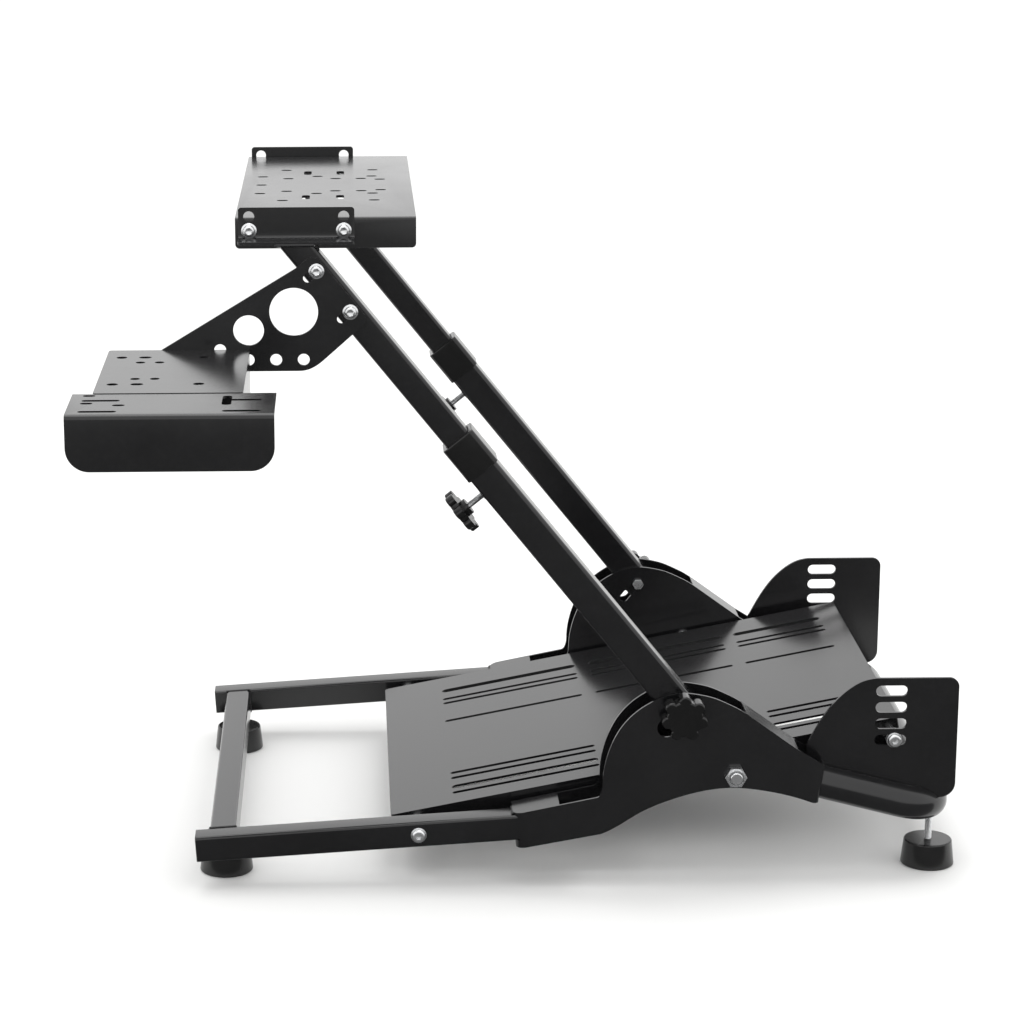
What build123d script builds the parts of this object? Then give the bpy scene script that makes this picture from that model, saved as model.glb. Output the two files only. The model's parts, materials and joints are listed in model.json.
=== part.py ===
from build123d import *
from math import atan2, cos, degrees, hypot, radians, sin
import os

# Folding wheel stand for a driving game: a low floor frame with a sloped pedal
# plate, two slanted telescopic legs on hinge brackets, a wheel plate on top and
# a shelf for a gear lever at the driver's right hand.
#
# Forward is +X, the driver's left is +Y and up is +Z. Side profiles are drawn
# forward of the rear feet and above the floor, plan views forward of the rear
# feet and left of the middle plane. The model's origin is on the floor below
# the middle of the whole object.

# Place of the rear feet and of the middle plane
rear_feet_x = -295.75
middle_y = 122.1

# Steel stock
sheet = 2.5
thin_sheet = 2.0
wing_sheet = 3.0
gusset_sheet = 3.0
tube_wall = 1.5
base_tube = 25.0
outer_tube = 30.0
outer_wall = 2.0
inner_tube = 25.0
front_tube_r = 15.75

# Clearances and seats
slide_gap = 0.25
pin_gap = 0.05
seat_gap = 0.1
turn_gap = 0.3

# Floor frame
rail_outer_y = 238.0
rail_grade = 0.0637
rail_rear_z = 41.7
rail_rear_x = -26.5
rail_front_x = 330.0
cross_tube_x = -1.0

# Feet
foot_y = 182.0
foot_height = 25.0
foot_bottom_r = 25.5
foot_top_r = 22.6
stud_r = 3.5
stud_seat_z = 12.0

# Hinge brackets
pivot_x = 482.3
pivot_z = 110.7
bracket_gap = 32.0
pivot_bolt_r = 6.0
pivot_nut_r = 10.4
lock_radius = 81.0
lock_bolt_r = 3.0
lock_slot_width = 8.6
lock_slot_wide = 18.0
lock_head_r = 5.8
lock_hub_r = 13.0
tilt_back = 15.0
bracket_rear_r = 10.5
bracket_front_r = 5.5

# Front tube
front_cross_x = 678.0
front_cross_z = 68.4
front_tube_rear_x = 522.0
front_tube_grade = 0.2625
front_tube_bend_r = 40.0

# Legs
leg_angle = 51.1
lower_tube_start = -9.0
lower_tube_end = 412.0
lower_tube_clip = 7.0
collar_start = 379.0
collar_end = 417.0
collar_side = 34.0
height_bolt_gap = 19.5
height_bolt_r = 3.0
thread_rim_height = 1.2
thread_rim_r = 5.5
upper_tube_start = 250.0

# Star knobs
knob_lobes = 7
knob_r = 21.8
knob_lobe_r = 5.8
knob_valley = 4.8
lock_knob_thick = 15.0
height_knob_thick = 8.0
height_knob_reach = 41.0

# Wheel plate and its side brackets
wheel_plate_x0 = 19.6
wheel_plate_x1 = 183.9
wheel_plate_z = 637.2
wheel_plate_drop = 28.2
wheel_plate_inset = 1.0
wheel_plate_corner_r = 4.0
side_bracket_x0 = 22.6
side_bracket_x1 = 127.9
side_bracket_rise = 9.8
side_bracket_below = 20.5
side_bracket_margin = 1.5
side_bracket_bend_r = 2.5
side_bolt_inset = 9.7
side_bolt_below = 11.4
side_hole_above = 1.3
side_bolt_hole_r = 4.3
side_hole_r = 5.0
wheel_slot_length = 10.5
wheel_slot_width = 7.0

# Pedal plate
pedal_grade = 0.195
pedal_x0 = 158.5
pedal_x1 = 642.0
pedal_side_gap = 6.5
pedal_pivot_x = 184.2
pedal_pivot_below = 10.4
pedal_drop = 27.0
pedal_end_drop = 12.0
pedal_bolt_r = 4.0
pedal_slot_width = 6.5
pedal_wide_slot_width = 10.5
pedal_rows = (123.0, 109.0, 50.0, -112.0, -127.0, -169.0)
pedal_wide_rows = (151.0, -153.0)
pedal_slot_groups = ((218.5, 360.5), (374.0, 516.0), (528.5, 620.5))

# Wings beside the front edge of the pedal plate
wing_outer_y = 216.5
wing_front_x = 695.0
wing_length = 142.5
wing_top_z = 197.7
wing_slot_setback = 63.5
wing_slot_z = 185.2
wing_slot_pitch = 16.2
wing_slot_length = 30.0
wing_slot_height = 10.5
wing_bolt_offset = 3.9

# Gear lever support
gusset_below_seat = 16.7824
gusset_end_length = 79.5
gusset_low_bolt = 17.4
gusset_top_bolt = 13.9
gusset_inside = 12.9
gusset_outside = 8.5
gusset_bolt_r = 4.0
gusset_row = (31.0, 56.0, 81.0)
gusset_row_below = 9.8
gusset_row_r = 5.4
gusset_slot_x = 5.4
gusset_slot_rise = 9.3
gusset_slot_margin = 1.9
shelf_hole_pitch = 24.0
shelf_hole_r = 4.3
shelf_below_plate = 115.5
shelf_reach = 150.6648
shelf_x0 = -95.0
shelf_x1 = 32.3
shelf_depth = 186.0
shelf_end_drop = 43.0
shelf_side_drop = 28.0
lip_below_shelf = 0.5
lip_x0 = -112.0
lip_x1 = 60.5
lip_depth = 83.5
lip_drop = 48.0
lip_bend_r = 4.0
lip_corner_r = 20.0

os.makedirs("parts", exist_ok=True)

# Values that follow
bracket_outer_y = rail_outer_y + sheet
bracket_inner_y = rail_outer_y - bracket_gap - sheet
leg_y = rail_outer_y - bracket_gap / 2
leg_cos = cos(radians(leg_angle))
leg_sin = sin(radians(leg_angle))
pedal_cos = cos(atan2(pedal_grade, 1.0))
pedal_sin = sin(atan2(pedal_grade, 1.0))
gusset_y = leg_y + inner_tube / 2
wheel_plate_half_y = leg_y - inner_tube / 2 - wheel_plate_inset
side_bracket_top = wheel_plate_z + side_bracket_rise
side_bracket_seat = wheel_plate_z - side_bracket_below
side_bracket_reach = leg_y + inner_tube / 2 + side_bracket_margin
side_bolt_rear_x = side_bracket_x0 + side_bolt_inset
side_bolt_front_x = side_bracket_x1 - side_bolt_inset
side_bolt_z = wheel_plate_z - side_bolt_below
side_hole_z = wheel_plate_z + side_hole_above
pedal_half_y = bracket_inner_y - pedal_side_gap
height_bolt_s = collar_start - height_bolt_gap
wing_slot_x = wing_front_x - wing_slot_setback
wing_bolt_x = wing_slot_x + wing_bolt_offset
gusset_top_s = (side_bracket_seat - pivot_z) / leg_sin - gusset_below_seat
gusset_low_s = gusset_top_s - gusset_end_length
gusset_bolt_s = (gusset_low_s + gusset_low_bolt, gusset_top_s - gusset_top_bolt)
shelf_z = wheel_plate_z - shelf_below_plate
shelf_x = pivot_x - (shelf_z - pivot_z) * leg_cos / leg_sin - shelf_reach
shelf_y = gusset_y + gusset_sheet
lip_y = shelf_y + shelf_depth

# Drawing planes: side view, plan and the mirror plane, then the side view and
# the plan at the shelf, whose x counts from a fixed reach behind the leg's axis
under_axis = Axis((0, 0, 0), (-leg_sin, 0, -leg_cos))
side = Plane(origin=(rear_feet_x, middle_y, 0), x_dir=(1, 0, 0), z_dir=(0, -1, 0))
top = Plane(origin=(rear_feet_x, middle_y, 0), x_dir=(1, 0, 0), z_dir=(0, 0, 1))
middle = Plane(origin=(rear_feet_x, middle_y, 0), x_dir=(1, 0, 0), z_dir=(0, 1, 0))
shelf_side = Plane(origin=(rear_feet_x + shelf_x, middle_y, shelf_z), x_dir=(1, 0, 0), z_dir=(0, -1, 0))
shelf_top = Plane(origin=(rear_feet_x + shelf_x, middle_y, shelf_z), x_dir=(1, 0, 0), z_dir=(0, 0, 1))


def rail_z(x):
    """Height of a side rail's axis."""
    return rail_rear_z + rail_grade * x


def front_tube_z(x):
    """Height of the front tube's axis."""
    return front_cross_z + front_tube_grade * (front_cross_x - x)


pedal_pivot_z = rail_z(pedal_pivot_x)


def pedal_z(x):
    """Height of the pedal plate's upper face."""
    return pedal_pivot_z + pedal_pivot_below + pedal_grade * (x - pedal_pivot_x)


def leg_point(s, under=0.0):
    """Side view point s up the leg's axis and under below it."""
    x = pivot_x - s * leg_cos - under * leg_sin
    z = pivot_z + s * leg_sin - under * leg_cos
    return (x, z)


def shelf_point(s, under):
    """Point by the leg, as leg_point gives it, drawn in the side view at the shelf."""
    x, z = leg_point(s, under)
    return (x - shelf_x, z - shelf_z)


def right_point(x, z, y):
    """Point of the model y to the right of the middle plane."""
    return (rear_feet_x + x, middle_y - y, z)


def round_pivot(radius, angle):
    """Side view point at an angle round the hinge pivot."""
    return (pivot_x + radius * cos(radians(angle)), pivot_z + radius * sin(radians(angle)))


def toward(start, end, step):
    """Side view point step from start on the line to end."""
    run = step / hypot(end[0] - start[0], end[1] - start[1])
    return (start[0] + run * (end[0] - start[0]), start[1] + run * (end[1] - start[1]))


def leg_plane(s):
    """Plane across the right leg, with its second axis to the leg's underside."""
    x, z = leg_point(s)
    return Plane(origin=right_point(x, z, leg_y), x_dir=(0, 1, 0), z_dir=(-leg_cos, 0, leg_sin))


def under_plane(s, under):
    """Plane below the right leg that faces away from its underside."""
    x, z = leg_point(s, under)
    return Plane(origin=right_point(x, z, leg_y), x_dir=(0, 1, 0), z_dir=(-leg_sin, 0, -leg_cos))


def square_tube(width, wall):
    """Draw a square tube's section with rounded corners."""
    RectangleRounded(width, width, 2 * wall)
    RectangleRounded(width - 2 * wall, width - 2 * wall, wall, mode=Mode.SUBTRACT)


def star(reach, lobe_r):
    """Draw a star knob's outline."""
    Circle(reach - knob_valley)
    with PolarLocations(reach - lobe_r, knob_lobes, start_angle=90):
        Circle(lobe_r)


def save(part, name):
    """Label a finished piece and write it."""
    part.label = name
    export_step(part, "parts/" + name + ".step")


def save_pair(part, name):
    """Write a right-hand piece and its mirror image on the left."""
    save(part, "right_" + name)
    save(mirror(part, about=middle), "left_" + name)


# Side rail, closed at its rear end
rail_angle = atan2(rail_grade, 1.0)
rail_start = Plane(
    origin=right_point(rail_rear_x, rail_z(rail_rear_x), rail_outer_y - base_tube / 2),
    x_dir=(0, 1, 0),
    z_dir=(cos(rail_angle), 0, sin(rail_angle)),
)
with BuildPart() as rail:
    with BuildSketch(rail_start):
        square_tube(base_tube, tube_wall)
    extrude(amount=(rail_front_x - rail_rear_x) / cos(rail_angle))
    with BuildSketch(rail_start):
        RectangleRounded(base_tube - tube_wall, base_tube - tube_wall, tube_wall)
    extrude(amount=tube_wall)
    with BuildSketch(side.offset(rail_outer_y - base_tube)):
        with Locations((pedal_pivot_x, pedal_pivot_z)):
            Circle(pedal_bolt_r + pin_gap)
    extrude(amount=base_tube, mode=Mode.SUBTRACT)
save_pair(rail.part, "rail")

# Rear cross tube between the rails
with BuildPart() as rear_cross_tube:
    with BuildSketch(side.offset(base_tube - rail_outer_y)):
        with Locations(Location((cross_tube_x, rail_z(cross_tube_x), 0), (0, 0, degrees(rail_angle)))):
            square_tube(base_tube, tube_wall)
    extrude(amount=2 * (rail_outer_y - base_tube))
    with BuildSketch(top.offset(rail_z(cross_tube_x) - base_tube)):
        with Locations((0, foot_y), (0, -foot_y)):
            Circle(stud_r + pin_gap)
    extrude(amount=base_tube, mode=Mode.SUBTRACT)
save(rear_cross_tube.part, "rear_cross_tube")

# Front tube, bent to a U in a sloping plane
tube_angle = atan2(front_tube_grade, 1.0)
front_plane = Plane(
    origin=right_point(front_tube_rear_x, front_tube_z(front_tube_rear_x), leg_y),
    x_dir=(cos(tube_angle), 0, -sin(tube_angle)),
    z_dir=(sin(tube_angle), 0, cos(tube_angle)),
)
front_run = (front_cross_x - front_tube_rear_x) / cos(tube_angle)
with BuildPart() as front_tube:
    with BuildLine(front_plane) as front_path:
        FilletPolyline(
            (0, 0),
            (front_run, 0),
            (front_run, 2 * leg_y),
            (0, 2 * leg_y),
            radius=front_tube_bend_r,
        )
    with BuildSketch(Plane(origin=front_path.line @ 0, z_dir=front_path.line % 0)):
        Circle(front_tube_r)
        Circle(front_tube_r - tube_wall, mode=Mode.SUBTRACT)
    sweep()
    with BuildSketch(top.offset(front_cross_z - 2 * front_tube_r)):
        with Locations((front_cross_x, foot_y), (front_cross_x, -foot_y)):
            Circle(stud_r + pin_gap)
    extrude(amount=2 * front_tube_r, mode=Mode.SUBTRACT)
save(front_tube.part, "front_tube")

# Feet with their threaded studs
for place, foot_x, tube_under in (
    ("rear", 0.0, rail_z(cross_tube_x) - base_tube / 2),
    ("front", front_cross_x, front_cross_z - front_tube_r),
):
    foot_plane = Plane(origin=right_point(foot_x, 0, foot_y), x_dir=(1, 0, 0), z_dir=(0, -1, 0))
    with BuildPart() as foot:
        with BuildSketch(foot_plane):
            with BuildLine():
                Polyline(
                    (0, 3),
                    (17, 3),
                    (18.5, 0),
                    (foot_bottom_r - 1, 0),
                    (foot_bottom_r, 1.2),
                    (foot_top_r + 0.4, foot_height - 1),
                    (foot_top_r - 0.6, foot_height),
                    (stud_r + pin_gap, foot_height),
                    (stud_r + pin_gap, stud_seat_z),
                    (0, stud_seat_z),
                    close=True,
                )
            make_face()
        revolve(axis=Axis(foot_plane.origin, (0, 0, 1)))
    save_pair(foot.part, place + "_foot")
    with BuildPart() as stud:
        with BuildSketch(Plane(origin=right_point(foot_x, stud_seat_z, foot_y))):
            Circle(stud_r)
        extrude(amount=tube_under + 9 - stud_seat_z)
        chamfer(stud.edges().group_by(Axis.Z)[-1], length=0.6)
    save_pair(stud.part, place + "_foot_stud")

# Hinge bracket: two formed side walls joined by short webs and rounded ends that
# the rail and the front tube enter, with an arc slot for the clamp bolt
arm_rear = (273.5, 73.9)
arm_rear_low = (276.8, 39.1)
arm_front = (352.0, 89.9)
arm_front_low = (356.0, 53.6)
front_arm_start = (491.3, 171.6)
front_arm_end = (541.8, 134.8)
front_arm_tip = (567.5, 118.9)
front_arm_low = (561.9, 82.3)
front_arm_under = (556.0, 82.8)
lock_angle = 180.0 - leg_angle
with BuildPart() as hinge_bracket:
    with BuildSketch(side.offset(bracket_inner_y)) as bracket_outline:
        with BuildLine():
            Line(arm_rear_low, arm_rear)
            Line(arm_rear, arm_front)
            Spline(arm_front, (355.6, 93.6), (357.4, 104.0), tangents=((1, 0.2), (0, 1)))
            Spline(
                (357.4, 104.0),
                (359.9, 125.0),
                (364.8, 141.0),
                (372.8, 157.0),
                (386.9, 173.2),
                (400.5, 182.7),
                (415.0, 189.3),
                (431.0, 192.2),
                (448.0, 190.3),
                (461.2, 186.9),
                (477.0, 179.8),
                front_arm_start,
                tangents=((0, 1), (1, -0.66)),
            )
            Polyline(front_arm_start, front_arm_end, front_arm_tip, front_arm_low, front_arm_under)
            Spline(
                front_arm_under,
                (536.7, 89.3),
                (507.2, 95.9),
                (480.0, 98.6),
                (449.8, 95.3),
                (421.3, 87.1),
                (392.9, 74.7),
                (368.0, 59.2),
                arm_front_low,
            )
            Line(arm_front_low, arm_rear_low)
        make_face()
        with Locations((pivot_x, pivot_z)):
            Circle(pivot_bolt_r + pin_gap, mode=Mode.SUBTRACT)
    extrude(amount=sheet)
    extrude(bracket_outline.sketch.moved(Location((0, -bracket_gap - sheet, 0))), amount=sheet)
    lock_back = lock_angle + tilt_back
    for wall_y, slot_half in ((bracket_inner_y, lock_slot_width / 2), (rail_outer_y, lock_slot_wide / 2)):
        with BuildSketch(side.offset(wall_y)):
            with BuildLine():
                CenterArc((pivot_x, pivot_z), lock_radius + slot_half, lock_angle, tilt_back)
                CenterArc((pivot_x, pivot_z), lock_radius - slot_half, lock_angle, tilt_back)
                CenterArc(round_pivot(lock_radius, lock_angle), slot_half, lock_angle - 180, 180)
                CenterArc(round_pivot(lock_radius, lock_back), slot_half, lock_back, 180)
            make_face()
        extrude(amount=sheet, mode=Mode.SUBTRACT)
    with BuildSketch(side.offset(bracket_inner_y + sheet)):
        with BuildLine():
            Polyline(
                arm_rear,
                toward(arm_rear, arm_front, 44.4),
                (317.4, 80.3),
                (273.8, 71.45),
                close=True,
            )
        make_face()
        with BuildLine():
            Polyline(
                front_arm_start,
                front_arm_end,
                (540.3, 132.8),
                (489.9, 169.5),
                close=True,
            )
        make_face()
        with BuildLine():
            Polyline(
                arm_rear_low,
                arm_rear,
                toward(arm_rear, arm_front, sheet),
                toward(arm_rear_low, arm_front_low, sheet),
                close=True,
            )
        make_face()
        with BuildLine():
            Polyline(
                front_arm_low,
                front_arm_tip,
                toward(front_arm_tip, front_arm_end, sheet),
                toward(front_arm_low, front_arm_under, sheet),
                close=True,
            )
        make_face()
    extrude(amount=bracket_gap)
    for end_low, end_top, end_step, end_r in (
        (arm_rear_low, arm_rear, sheet, bracket_rear_r),
        (front_arm_low, front_arm_tip, -sheet, bracket_front_r),
    ):
        end_x = (end_low[0] + end_top[0]) / 2
        end_z = (end_low[1] + end_top[1]) / 2
        outer_corner = right_point(end_x, end_z, bracket_outer_y)
        inner_corner = right_point(end_x + end_step, end_z, rail_outer_y)
        fillet(hinge_bracket.edges().sort_by_distance(inner_corner)[0], radius=end_r - sheet)
        fillet(hinge_bracket.edges().sort_by_distance(outer_corner)[0], radius=end_r)
    with BuildSketch(side.offset(rail_outer_y - base_tube - seat_gap)):
        with Locations(Location((arm_rear[0], rail_z(arm_rear[0]), 0), (0, 0, degrees(rail_angle)))):
            Rectangle(2 * (bracket_rear_r + sheet), base_tube + 2 * seat_gap)
    extrude(amount=base_tube + seat_gap, mode=Mode.SUBTRACT)
    with BuildSketch(Plane(origin=front_plane.origin, z_dir=front_plane.x_dir)):
        Circle(front_tube_r + seat_gap)
    extrude(amount=3 * front_tube_r, mode=Mode.SUBTRACT)
    with BuildSketch(side.offset(bracket_inner_y + sheet)):
        with Locations((front_arm_low[0], front_tube_z(front_arm_low[0]))):
            Rectangle(4 * bracket_front_r, 4 * front_tube_r)
    extrude(amount=bracket_gap / 2, mode=Mode.SUBTRACT)
save_pair(hinge_bracket.part, "hinge_bracket")

# Wing with slots for the pedal plate's height, coped over the front tube
with BuildPart() as wing:
    with BuildSketch(side.offset(wing_outer_y - wing_sheet)) as wing_outline:
        with BuildLine():
            wing_rear = (wing_front_x - wing_length, wing_top_z - 64.7)
            wing_curve_end = (wing_front_x - 78.5, wing_top_z)
            Line((wing_rear[0], front_tube_z(wing_rear[0])), wing_rear)
            Spline(
                wing_rear,
                (wing_rear[0] + 14.8, wing_top_z - 37.5),
                (wing_rear[0] + 31.5, wing_top_z - 16.5),
                (wing_rear[0] + 46.3, wing_top_z - 5.3),
                wing_curve_end,
                tangents=((0.5, 1), (1, 0.12)),
            )
            Polyline(wing_curve_end, (wing_front_x - 9, wing_top_z))
            JernArc((wing_front_x - 9, wing_top_z), (1, 0), 9, -90)
            Line((wing_front_x, wing_top_z - 9), (wing_front_x, 93.0))
            JernArc((wing_front_x, 93.0), (0, -1), 14, -90)
            Polyline(
                (wing_front_x - 14, 79.0),
                (front_cross_x - 18, front_tube_z(front_cross_x - 18)),
                (wing_rear[0], front_tube_z(wing_rear[0])),
            )
        make_face()
        with Locations((wing_slot_x, wing_slot_z - 1.5 * wing_slot_pitch)):
            with GridLocations(0, wing_slot_pitch, 1, 4):
                SlotOverall(wing_slot_length, wing_slot_height, mode=Mode.SUBTRACT)
    extrude(amount=wing_sheet)
    with BuildLine(front_plane) as cope_path:
        FilletPolyline(
            (0, 0),
            (front_run, 0),
            (front_run, leg_y),
            radius=front_tube_bend_r,
        )
    with BuildSketch(Plane(origin=cope_path.line @ 0, z_dir=cope_path.line % 0)):
        Circle(front_tube_r + seat_gap)
    sweep(mode=Mode.SUBTRACT)
save_pair(wing.part.solids().sort_by(SortBy.VOLUME)[-1], "wing_plate")

# Pedal plate: folded tray with long slots
pedal_plane = Plane(
    origin=(rear_feet_x + pedal_pivot_x, middle_y, pedal_z(pedal_pivot_x)),
    x_dir=(pedal_cos, 0, pedal_sin),
    z_dir=(-pedal_sin, 0, pedal_cos),
)
pedal_u0 = (pedal_x0 - pedal_pivot_x) / pedal_cos
pedal_u1 = (pedal_x1 - pedal_pivot_x) / pedal_cos
pedal_length = pedal_u1 - pedal_u0
pedal_middle_u = (pedal_u0 + pedal_u1) / 2
wing_bolt_z = wing_slot_z - 3 * wing_slot_pitch
with BuildPart() as pedal_plate:
    with BuildSketch(pedal_plane):
        with Locations((pedal_middle_u, 0)):
            RectangleRounded(pedal_length, 2 * pedal_half_y, 4)
    extrude(amount=-thin_sheet)
    with BuildSketch(pedal_plane.offset(-thin_sheet)):
        with Locations((pedal_middle_u, 0)):
            RectangleRounded(pedal_length, 2 * pedal_half_y, 4)
            RectangleRounded(
                pedal_length - 2 * thin_sheet,
                2 * (pedal_half_y - thin_sheet),
                4 - thin_sheet,
                mode=Mode.SUBTRACT,
            )
    extrude(amount=thin_sheet - pedal_end_drop)
    with BuildSketch(pedal_plane.offset(-pedal_end_drop)):
        with Locations((pedal_middle_u, 0)):
            with GridLocations(0, 2 * pedal_half_y - thin_sheet, 1, 2):
                Rectangle(pedal_length - 24, thin_sheet)
    extrude(amount=pedal_end_drop - pedal_drop)
    with BuildSketch(side.offset(-pedal_half_y)):
        with Locations((pedal_pivot_x, pedal_pivot_z), (wing_bolt_x, wing_bolt_z)):
            Circle(pedal_bolt_r + pin_gap)
    extrude(amount=2 * pedal_half_y, mode=Mode.SUBTRACT)
    with BuildSketch(pedal_plane):
        for slot_x0, slot_x1 in pedal_slot_groups:
            slot_u = ((slot_x0 + slot_x1) / 2 - pedal_pivot_x) / pedal_cos
            slot_length = (slot_x1 - slot_x0) / pedal_cos
            with Locations(*[(slot_u, y) for y in pedal_rows]):
                SlotOverall(slot_length, pedal_slot_width)
            with Locations(*[(slot_u, y) for y in pedal_wide_rows]):
                SlotOverall(slot_length, pedal_wide_slot_width)
    extrude(amount=-thin_sheet, mode=Mode.SUBTRACT)
save(pedal_plate.part, "pedal_plate")

# Bolts that carry the pedal plate, each with a spacer sleeve and a nut
for name, bolt_x, bolt_z, plate_face, sleeve_face in (
    ("pedal_pivot_bolt", pedal_pivot_x, pedal_pivot_z, rail_outer_y, rail_outer_y - base_tube),
    ("wing_bolt", wing_bolt_x, wing_bolt_z, wing_outer_y, wing_outer_y - wing_sheet),
):
    with BuildPart() as bolt:
        with BuildSketch(side.offset(plate_face)):
            with Locations((bolt_x, bolt_z)):
                Circle(7.4)
        extrude(amount=1.2)
        with BuildSketch(side.offset(plate_face + 1.2)):
            with Locations((bolt_x, bolt_z)):
                Circle(6.6)
        extrude(amount=4.2)
        fillet(bolt.edges().filter_by(GeomType.CIRCLE).group_by(Axis.Y)[0], radius=2.4)
        with BuildSketch(side.offset(plate_face + 5.4)):
            with Locations((bolt_x, bolt_z)):
                RegularPolygon(2.9, 6)
        extrude(amount=-3.0, mode=Mode.SUBTRACT)
        with BuildSketch(side.offset(pedal_half_y - thin_sheet - 8)):
            with Locations((bolt_x, bolt_z)):
                Circle(pedal_bolt_r)
        extrude(amount=plate_face - pedal_half_y + thin_sheet + 8)
        with BuildSketch(side.offset(pedal_half_y)):
            with Locations((bolt_x, bolt_z)):
                Circle(7.5)
        extrude(amount=sleeve_face - pedal_half_y)
        with BuildSketch(side.offset(pedal_half_y - thin_sheet - 6.5)):
            with Locations((bolt_x, bolt_z)):
                RegularPolygon(7.5, 6)
        extrude(amount=6.5)
    save_pair(bolt.part, name)

# Pivot bolt: low head inside, hexagon nut outside
with BuildPart() as pivot_bolt:
    with BuildSketch(side.offset(bracket_inner_y - 4)):
        with Locations((pivot_x, pivot_z)):
            Circle(10.5)
    extrude(amount=4)
    with BuildSketch(side.offset(bracket_inner_y)):
        with Locations((pivot_x, pivot_z)):
            Circle(pivot_bolt_r)
    extrude(amount=bracket_outer_y - bracket_inner_y + 11)
    chamfer(pivot_bolt.edges().filter_by(GeomType.CIRCLE).group_by(Axis.Y)[0], length=0.8)
    with BuildSketch(side.offset(bracket_outer_y)):
        with Locations((pivot_x, pivot_z)):
            RegularPolygon(pivot_nut_r, 6)
    extrude(amount=7)
    with BuildSketch(side.offset(bracket_outer_y + 7)):
        with Locations((pivot_x, pivot_z)):
            Circle(pivot_nut_r - 2.2)
            Circle(pivot_bolt_r + 0.8, mode=Mode.SUBTRACT)
    extrude(amount=2.8)
save_pair(pivot_bolt.part, "pivot_bolt")

# Lower leg tube with a rimmed thread for the height bolt
with BuildPart() as lower_tube:
    with BuildSketch(leg_plane(lower_tube_start)):
        square_tube(outer_tube, outer_wall)
    extrude(amount=lower_tube_end - lower_tube_start)
    with BuildSketch(side.offset(leg_y - outer_tube)):
        with BuildLine():
            Polyline(
                leg_point(lower_tube_start - 1, outer_tube / 2 + 1),
                leg_point(lower_tube_start - 1, outer_tube / 2 - lower_tube_clip - 1),
                leg_point(lower_tube_start + lower_tube_clip + 1, outer_tube / 2 + 1),
                close=True,
            )
        make_face()
        with BuildLine():
            Polyline(
                leg_point(lower_tube_start - 1, -outer_tube / 2 - 1),
                leg_point(lower_tube_start - 1, -outer_tube / 2 + lower_tube_clip + 1),
                leg_point(lower_tube_start + lower_tube_clip + 1, -outer_tube / 2 - 1),
                close=True,
            )
        make_face()
        with Locations(leg_point(0)):
            Circle(pivot_bolt_r + pin_gap)
        with Locations(leg_point(lock_radius)):
            Circle(lock_bolt_r + pin_gap)
    extrude(amount=2 * outer_tube, mode=Mode.SUBTRACT)
    with BuildSketch(under_plane(height_bolt_s, outer_tube / 2)):
        Circle(thread_rim_r)
    extrude(amount=thread_rim_height)
    with BuildSketch(under_plane(height_bolt_s, inner_tube / 2)):
        Circle(height_bolt_r + pin_gap)
    extrude(amount=outer_wall + thread_rim_height + 2, mode=Mode.SUBTRACT)
save_pair(lower_tube.part, "lower_tube")

# Plastic collar on the lower tube's mouth
with BuildPart() as collar:
    with BuildSketch(leg_plane(collar_start)):
        RectangleRounded(collar_side, collar_side, 4)
    extrude(amount=collar_end - collar_start)
    fillet(collar.faces().sort_by(Axis.Z)[-1].edges(), radius=1.2)
    with BuildSketch(leg_plane(collar_start)):
        RectangleRounded(outer_tube + 2 * seat_gap, outer_tube + 2 * seat_gap, 4)
    extrude(amount=lower_tube_end + seat_gap - collar_start, mode=Mode.SUBTRACT)
    with BuildSketch(leg_plane(collar_start)):
        RectangleRounded(inner_tube + 2 * slide_gap, inner_tube + 2 * slide_gap, 3)
    extrude(amount=collar_end - collar_start, mode=Mode.SUBTRACT)
save_pair(collar.part, "collar")

# Clamp bolt through the arc slots
with BuildPart() as lock_bolt:
    with BuildSketch(side.offset(bracket_inner_y - turn_gap - 4)):
        with Locations(leg_point(lock_radius)):
            RegularPolygon(lock_head_r, 6)
    extrude(amount=4)
    with BuildSketch(side.offset(bracket_inner_y - turn_gap)):
        with Locations(leg_point(lock_radius)):
            Circle(lock_bolt_r)
    extrude(amount=bracket_outer_y - bracket_inner_y + turn_gap + 14)
save_pair(lock_bolt.part, "lock_bolt")

# Star knob of the clamp bolt
with BuildPart() as lock_knob:
    with BuildSketch(side.offset(bracket_outer_y + turn_gap)):
        with Locations(leg_point(lock_radius)):
            Circle(lock_hub_r)
    extrude(amount=9)
    with BuildSketch(side.offset(bracket_outer_y + turn_gap + 7)):
        with Locations(leg_point(lock_radius)):
            star(knob_r, knob_lobe_r)
    extrude(amount=lock_knob_thick)
    fillet(lock_knob.faces().sort_by(Axis.Y)[0].edges(), radius=1.8)
    with BuildSketch(side.offset(bracket_outer_y)):
        with Locations(leg_point(lock_radius)):
            Circle(lock_bolt_r + pin_gap)
    extrude(amount=14 + seat_gap, mode=Mode.SUBTRACT)
save_pair(lock_knob.part, "lock_knob")

# Height clamp: threaded bolt and star knob below the lower tube
with BuildPart() as height_bolt:
    with BuildSketch(under_plane(height_bolt_s, inner_tube / 2 + seat_gap)):
        Circle(height_bolt_r)
    extrude(amount=height_knob_reach - 4 - inner_tube / 2 - seat_gap)
save_pair(height_bolt.part, "height_bolt")

with BuildPart() as height_knob:
    with BuildSketch(under_plane(height_bolt_s, height_knob_reach - height_knob_thick / 2 - 5)):
        Circle(8)
    extrude(amount=6)
    with BuildSketch(under_plane(height_bolt_s, height_knob_reach - height_knob_thick / 2)):
        star(knob_r, knob_lobe_r)
    extrude(amount=height_knob_thick)
    fillet(height_knob.faces().sort_by(under_axis)[-1].edges(), radius=1.6)
    with BuildSketch(under_plane(height_bolt_s, height_knob_reach - height_knob_thick / 2 - 5)):
        Circle(height_bolt_r + pin_gap)
    extrude(amount=5 + height_knob_thick / 2 - 4 + seat_gap, mode=Mode.SUBTRACT)
save_pair(height_knob.part, "height_knob")

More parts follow.
